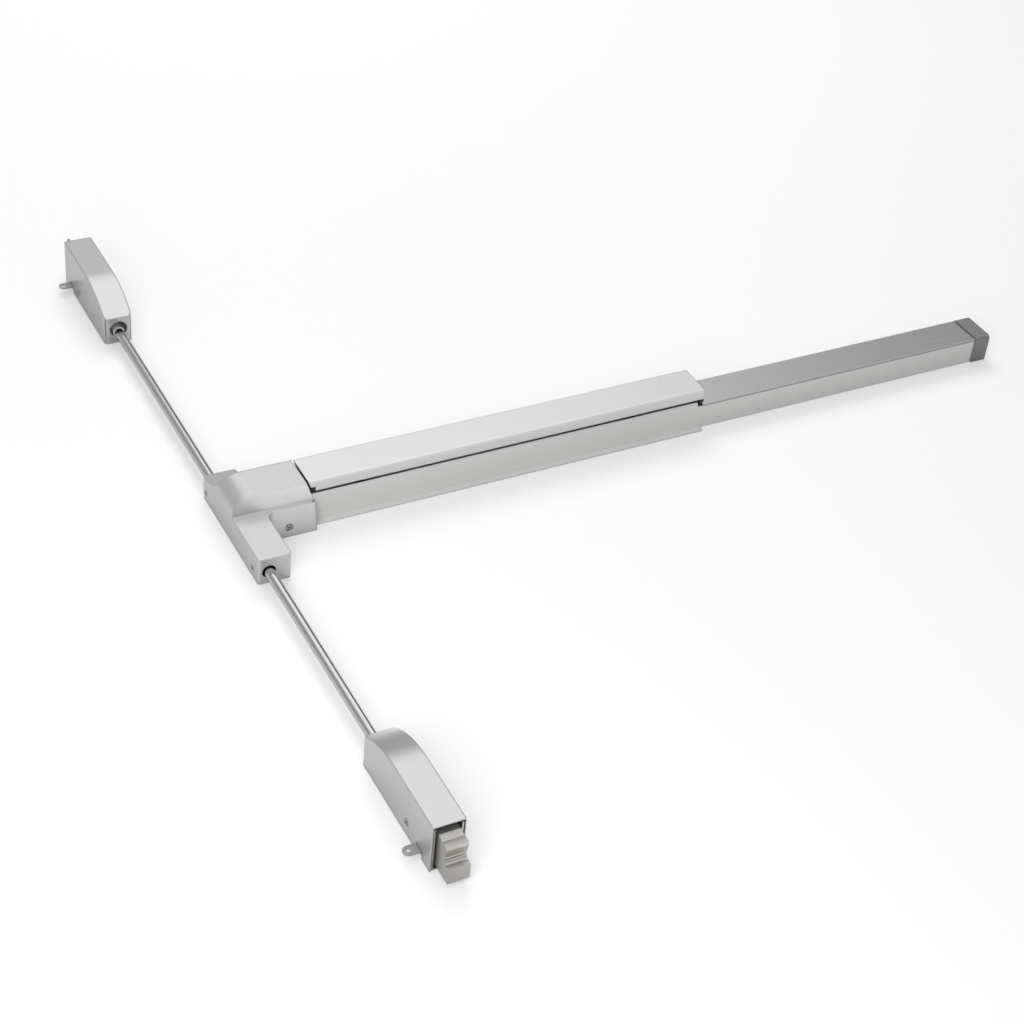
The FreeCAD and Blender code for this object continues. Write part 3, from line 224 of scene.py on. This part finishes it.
# What each slot of the record is made of: name, colour, roughness, then grain and its depth for a metal.
MATERIALS = {
    "cast_satin": metal(
        "CastSatin", (0.7, 0.7, 0.695), 0.34, EVEN_GRAIN, 0.00003, metallic=0.85, edge=0.0022
    ),
    "anodised_rail": metal(
        "AnodisedRail", (0.73, 0.73, 0.72), 0.38, ALONG_BAR, 0.00003, metallic=0.35
    ),
    "satin_pad": metal(
        "SatinPad", (0.8, 0.8, 0.8), 0.34, ALONG_BAR, 0.00002, metallic=0.75, edge=0.0016
    ),
    "brushed_cover": metal(
        "BrushedCover", (0.63, 0.63, 0.635), 0.28, ALONG_BAR, 0.00005, wear=0.05
    ),
    "cap_metal": metal(
        "CapMetal", (0.265, 0.275, 0.265), 0.45, EVEN_GRAIN, 0.00006, metallic=0.6, edge=0.002
    ),
    "brushed_latch": metal(
        "BrushedLatch", (0.71, 0.71, 0.715), 0.3, ALONG_ROD, 0.000005, wear=0.022, edge=0.002
    ),
    "polished_rod": metal(
        "PolishedRod", (0.68, 0.68, 0.67), 0.08, COARSE_GRAIN, 0.000003
    ),
    "cast_bolt": metal(
        "CastBolt", (0.56, 0.55, 0.52), 0.4, COARSE_GRAIN, 0.00006, metallic=0.9, edge=0.0006
    ),
    "plated_steel": metal(
        "PlatedSteel", (0.56, 0.56, 0.55), 0.38, EVEN_GRAIN, 0.00003
    ),
    # Screws get painted shade in their sockets.
    "screw_steel": steel_with_painted_socket_shade("ScrewSteel", 0.5, 0.3),
    "bushing_steel": metal(
        "BushingSteel",
        (0.8, 0.8, 0.79),
        0.3,
        EVEN_GRAIN,
        0.00002,
        metallic=0.6,
        edge=0.0003,
        # Wider ends paint shade over more of the bushing, so its bore shows dark.
        hollow=(0.45, 0.85),
    ),
    "spring_steel": metal(
        "SpringSteel", (0.5, 0.5, 0.5), 0.3, EVEN_GRAIN, 0.00002
    ),
    "black_plastic": plastic("BlackPlastic", (0.012, 0.012, 0.012), 0.5, PLASTIC_GRAIN),
}
SLOTS = {row["node"]: row["material_slot"] for row in RECORD["subparts"]}

for name, item in NODES.items():
    item.data.materials.clear()
    item.data.materials.append(MATERIALS[SLOTS[name]])


# A copy of a coil spring with a mesh of its own, riding on its joint's parent body in place of the spring's
# node.
def coil_spring(node, joint):
    plain = NODES[node]
    item = plain.copy()
    item.data = plain.data.copy()
    item.name = node + "_coil"
    bpy.context.scene.collection.objects.link(item)
    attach(item, joint["parent"])
    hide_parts(node)
    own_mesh(item)


for joint in RECORD["behaviour"]["joints"]:
    for row in joint.get("deforming_nodes", []):
        coil_spring(row["node"], joint)

# The door's face stands just behind the device, and shows only from the front.
WALL_SIDE = 14.0
WALL_Y = 0.0006
WALL_COLOUR = 0.54
WALL_ROUGHNESS = 0.9
# The glow that the camera sees over the lit paint, so that the door looks white.
WALL_GLOW = 0.33
# Mirrors see a glow that grows from none to this, below the bar and to the right of the rods.
WALL_SHEEN = 0.9
SHEEN_Z = (-0.12, -0.3)
SHEEN_X = (0.02, 0.1)
# Rays that start behind the device, this close to the door, pass through it.
CLOSE_BY = 0.004


# How brightly the door glows for the camera and in mirrors.
def wall_glow(tree, path, geometry):
    mirrored = math_node(tree, "MAXIMUM", path.outputs["Is Glossy Ray"], path.outputs["Is Transmission Ray"])
    seen = math_node(tree, "MULTIPLY", path.outputs["Is Camera Ray"], WALL_GLOW)
    place = tree.nodes.new("ShaderNodeSeparateXYZ")
    tree.links.new(geometry.outputs["Position"], place.inputs["Vector"])
    for axis, ends, full in (("Z", SHEEN_Z, WALL_SHEEN), ("X", SHEEN_X, 1.0)):
        sheen = ramp_node(tree, place.outputs[axis], ends, (0.0, full))
        mirrored = math_node(tree, "MULTIPLY", mirrored, sheen)
    glow = tree.nodes.new("ShaderNodeEmission")
    tree.links.new(math_node(tree, "ADD", seen, mirrored), glow.inputs["Strength"])
    return glow.outputs["Emission"]


# Paint that is lit and glows, and is clear from behind and to rays that start close by.
def wall_paint():
    material, tree, shader = blank_material("WallPaint")
    shader.inputs["Base Color"].default_value = (WALL_COLOUR, WALL_COLOUR, WALL_COLOUR, 1.0)
    shader.inputs["Roughness"].default_value = WALL_ROUGHNESS
    shader.inputs["Specular IOR Level"].default_value = 0.0
    path = tree.nodes.new("ShaderNodeLightPath")
    geometry = tree.nodes.new("ShaderNodeNewGeometry")
    glow = wall_glow(tree, path, geometry)
    lit = tree.nodes.new("ShaderNodeAddShader")
    tree.links.new(shader.outputs["BSDF"], lit.inputs[0])
    tree.links.new(glow, lit.inputs[1])
    clear = tree.nodes.new("ShaderNodeBsdfTransparent")
    near = math_node(tree, "LESS_THAN", path.outputs["Ray Length"], CLOSE_BY)
    through = math_node(tree, "MAXIMUM", geometry.outputs["Backfacing"], near)
    mix = tree.nodes.new("ShaderNodeMixShader")
    output = [node for node in tree.nodes if node.type == "OUTPUT_MATERIAL"][0]
    tree.links.new(through, mix.inputs["Fac"])
    tree.links.new(lit.outputs["Shader"], mix.inputs[1])
    tree.links.new(clear.outputs["BSDF"], mix.inputs[2])
    tree.links.new(mix.outputs["Shader"], output.inputs["Surface"])
    return material


def wall():
    half = WALL_SIDE / 2
    corners = [(-half, WALL_Y, -half), (half, WALL_Y, -half), (half, WALL_Y, half), (-half, WALL_Y, half)]
    mesh = bpy.data.meshes.new("Wall")
    mesh.from_pydata(corners, [], [(0, 1, 2, 3)])
    item = bpy.data.objects.new("Wall", mesh)
    bpy.context.scene.collection.objects.link(item)
    item.data.materials.append(wall_paint())
    return item


# Where the lamps point, in the middle of the bar. Their places and sizes are in metres, their power in watts.
MIDDLE = (0.45, 0.0, 0.0)
KEY_PLACE = (0.85, -2.7, 2.3)
KEY_SIZE = (2.0, 1.6)
KEY_POWER = 52.0
FILL_PLACE = (-1.0, -1.2, -1.4)
FILL_SIZE = (1.2, 1.2)
FILL_POWER = 26.0


# A lamp that points at the middle and doesn't show in the metal.
def area_light(name, place, size, power):
    light = bpy.data.lights.new(name, "AREA")
    light.shape = "RECTANGLE"
    light.size = size[0]
    light.size_y = size[1]
    light.energy = power
    item = bpy.data.objects.new(name, light)
    bpy.context.scene.collection.objects.link(item)
    item.location = place
    item.rotation_mode = "QUATERNION"
    item.rotation_quaternion = (Vector(MIDDLE) - Vector(place)).to_track_quat("-Z", "Y")
    item.visible_glossy = False
    return item


KEY = area_light("Key", KEY_PLACE, KEY_SIZE, KEY_POWER)
FILL = area_light("Fill", FILL_PLACE, FILL_SIZE, FILL_POWER)
wall()

# A soft studio dome: bright in a wide patch over the device, and dimmer round it and towards +X.
PATCH_WAY = (0.25, -0.95, 0.1)
PATCH_EDGE = 0.61
PATCH_CORE = 0.77
PATCH_BRIGHT = 1.12
DOME_DIM = 0.42
FALL_START = 0.43
FALL_STOP = 0.6
FALL_LEFT = 0.39


# The dome lights the device and shows in the metal, and is seen white itself.
def studio():
    world = bpy.data.worlds.new("Studio")
    world.use_nodes = True
    tree = world.node_tree
    background = tree.nodes["Background"]
    background.inputs["Color"].default_value = WHITE
    coordinates = tree.nodes.new("ShaderNodeTexCoord")
    facing = tree.nodes.new("ShaderNodeVectorMath")
    facing.operation = "DOT_PRODUCT"
    facing.inputs[1].default_value = Vector(PATCH_WAY).normalized()
    tree.links.new(coordinates.outputs["Generated"], facing.inputs[0])
    patch = ramp_node(tree, facing.outputs["Value"], (PATCH_EDGE, PATCH_CORE), (DOME_DIM, PATCH_BRIGHT))
    parts = tree.nodes.new("ShaderNodeSeparateXYZ")
    tree.links.new(coordinates.outputs["Generated"], parts.inputs["Vector"])
    fall = ramp_node(tree, parts.outputs["X"], (FALL_START, FALL_STOP), (1.0, FALL_LEFT))
    glow = math_node(tree, "MULTIPLY", patch, fall)
    path = tree.nodes.new("ShaderNodeLightPath")
    seen = math_node(tree, "MAXIMUM", glow, path.outputs["Is Camera Ray"])
    tree.links.new(seen, background.inputs["Strength"])
    bpy.context.scene.world = world


studio()

# The photograph's camera: where it stands, and its right, down and forward directions.
CAMERA_PLACE = (-0.7124, -1.5763, -1.8184)
CAMERA_RIGHT = Vector((0.88592, -0.08627, -0.45574))
CAMERA_DOWN = Vector((-0.22297, 0.78237, -0.58154))
CAMERA_FORWARD = Vector((0.40672, 0.61681, 0.67388))
FOCAL_PIXELS = 2074.9
PICTURE_PIXELS = 1024
SENSOR_MM = 36.0
CLIP_START = 0.05
CLIP_END = 50.0

camera = bpy.data.cameras.new("Camera")
camera.sensor_width = SENSOR_MM
camera.lens = FOCAL_PIXELS / PICTURE_PIXELS * SENSOR_MM
camera.clip_start = CLIP_START
camera.clip_end = CLIP_END
view = bpy.data.objects.new("Camera", camera)
bpy.context.scene.collection.objects.link(view)
axes = Matrix((CAMERA_RIGHT, -CAMERA_DOWN, -CAMERA_FORWARD)).transposed()
view.matrix_world = Matrix.Translation(CAMERA_PLACE) @ axes.to_4x4()
bpy.context.scene.camera = view

bpy.context.scene.view_settings.view_transform = "Standard"
